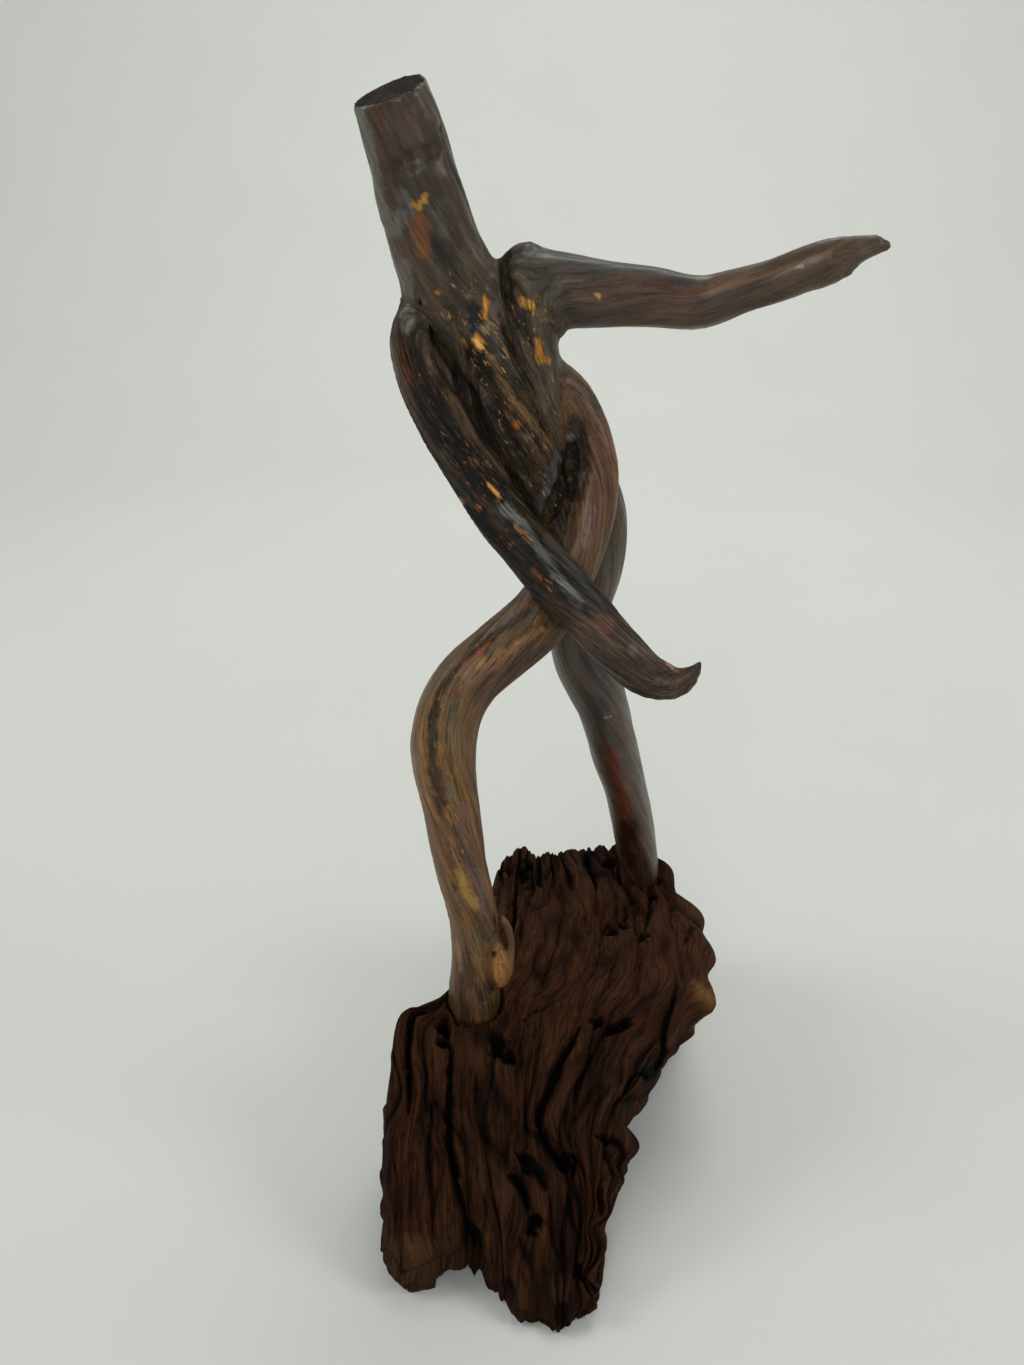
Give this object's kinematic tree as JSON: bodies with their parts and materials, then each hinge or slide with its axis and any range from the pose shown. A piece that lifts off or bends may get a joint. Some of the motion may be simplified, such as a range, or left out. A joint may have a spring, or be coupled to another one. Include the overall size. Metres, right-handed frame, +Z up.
{
  "type": "dry root on a wood base",
  "caption": "Polished twisted driftwood root with two legs, two arms and a sawn neck, standing in a block of weathered, deeply grooved wood.",
  "frame": {"origin": "centre of the bounding box at the surface it stands on", "axes": "+Z up, the neck is the highest point; -Y is the front, towards the viewer; +X to the viewer's right, where the held-out arm points"},
  "size_m": [0.1989, 0.2402, 0.4834],
  "materials": {
    "root_wood": "polished dark red-brown root wood, almost black in the grooves, worn to gold and orange flecks, satin",
    "base_wood": "matte weathered chocolate-brown wood with deep dark cracks along the grain"
  },
  "bodies": {
    "root": {"root_figure": "root_wood", "base_block": "base_wood"}
  },
  "joints": []
}
